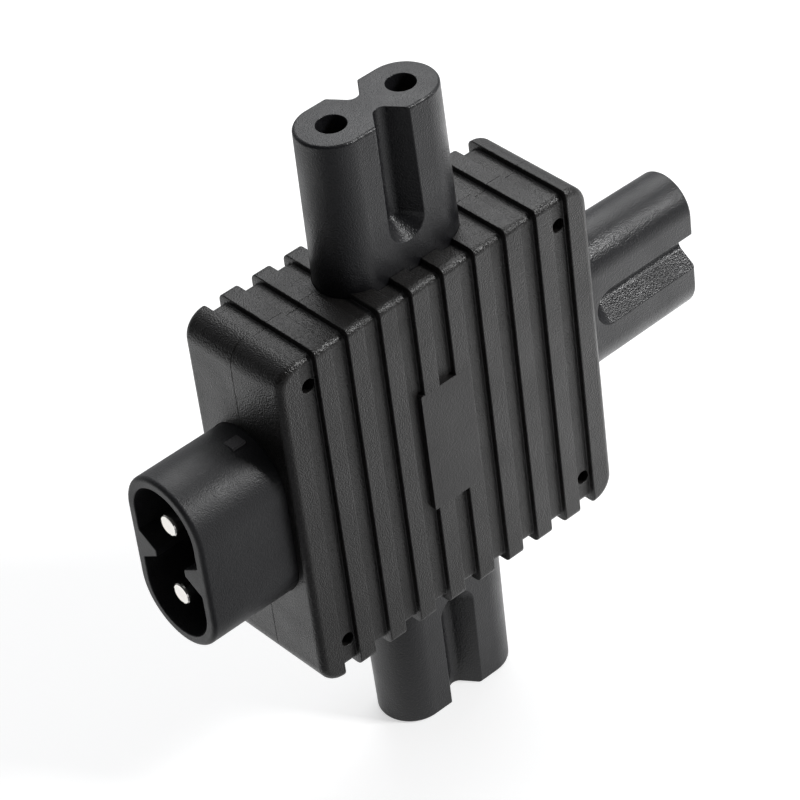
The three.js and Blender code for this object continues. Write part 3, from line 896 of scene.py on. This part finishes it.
def make_floor():
    mesh = bpy.data.meshes.new("floor")
    corners = [(-FLOOR_HALF, -FLOOR_HALF, 0), (FLOOR_HALF, -FLOOR_HALF, 0),
               (FLOOR_HALF, FLOOR_HALF, 0), (-FLOOR_HALF, FLOOR_HALF, 0)]
    mesh.from_pydata(corners, [], [(0, 1, 2, 3)])
    floor = bpy.data.objects.new("floor", mesh)
    bpy.context.scene.collection.objects.link(floor)
    material, shader = new_material("floor_white")
    shader.inputs["Base Color"].default_value = FLOOR_COLOUR
    shader.inputs["Roughness"].default_value = FLOOR_ROUGHNESS
    shader.inputs["Specular IOR Level"].default_value = FLOOR_SPECULAR
    tree = material.node_tree
    white = shader.outputs["BSDF"]

    loss = calculated(tree, "MULTIPLY", spot(tree, *GLOW_PATCH), GLOW_LOSS)
    seen = added(tree, white, glowing(tree, calculated(tree, "SUBTRACT", 1.0, loss)))

    # Painted light: the floor glows at front right and at back left, seen only in reflections
    painted_light_front = calculated(tree, "MULTIPLY", spot(tree, *PAINTED_LIGHT_FRONT_RIGHT), PAINTED_LIGHT_FRONT_STRENGTH)
    painted_light_back = calculated(tree, "MULTIPLY", spot(tree, *PAINTED_LIGHT_BACK_LEFT), PAINTED_LIGHT_BACK_STRENGTH)
    lit = added(tree, white, glowing(tree, calculated(tree, "ADD", painted_light_front, painted_light_back)))
    # Painted shade: a dark patch of floor at front left, seen only in reflections
    painted_shade_sheet = tree.nodes.new("ShaderNodeBsdfDiffuse")
    painted_shade_sheet.inputs["Color"].default_value = PAINTED_SHADE_COLOUR
    reflected = mixed(tree, spot(tree, *PAINTED_SHADE_PATCH), lit, painted_shade_sheet.outputs[0])

    output = next(node for node in tree.nodes if node.type == "OUTPUT_MATERIAL")
    tree.links.new(seen_or_lit(tree, reflected, seen), output.inputs["Surface"])
    mesh.materials.append(material)


def make_world():
    world = bpy.data.worlds.new("studio")
    bpy.context.scene.world = world
    world.use_nodes = True
    tree = world.node_tree
    tree.nodes.clear()
    output = tree.nodes.new("ShaderNodeOutputWorld")
    seen = tree.nodes.new("ShaderNodeBackground")
    seen.inputs["Color"].default_value = (1, 1, 1, 1)
    seen.inputs["Strength"].default_value = 1.0
    light = tree.nodes.new("ShaderNodeBackground")
    light.inputs["Color"].default_value = SKY_COLOUR
    where = tree.nodes.new("ShaderNodeTexCoord")
    towards = tree.nodes.new("ShaderNodeVectorMath")
    towards.operation = "DOT_PRODUCT"
    towards.inputs[1].default_value = SKY_SIDE
    tree.links.new(where.outputs["Generated"], towards.inputs[0])
    level = tree.nodes.new("ShaderNodeMapRange")
    level.inputs["From Min"].default_value, level.inputs["From Max"].default_value = SKY_RANGE
    level.inputs["To Min"].default_value, level.inputs["To Max"].default_value = SKY_STRENGTHS
    tree.links.new(towards.outputs["Value"], level.inputs["Value"])
    tree.links.new(level.outputs["Result"], light.inputs["Strength"])
    choice = seen_or_lit(tree, light.outputs[0], seen.outputs[0])
    tree.links.new(choice, output.inputs["Surface"])


def make_lamp(name, place_at, aim, size, power):
    data = bpy.data.lights.new(name, "AREA")
    data.shape = "RECTANGLE"
    data.size, data.size_y = size
    data.energy = power
    lamp = bpy.data.objects.new(name, data)
    lamp.location = place_at
    lamp.rotation_mode = "QUATERNION"
    lamp.rotation_quaternion = (Vector(aim) - Vector(place_at)).to_track_quat("-Z", "Y")
    lamp.visible_camera = False
    bpy.context.scene.collection.objects.link(lamp)


make_floor()
make_world()
make_lamp("key", (0.42, -0.55, 0.58), LAMP_AIM, size=(0.2, 0.2), power=4.6)
make_lamp("overhead", (0.45, 0.35, 0.75), LAMP_AIM, size=(0.7, 0.7), power=4.3)

bpy.context.scene.view_settings.view_transform = "Standard"
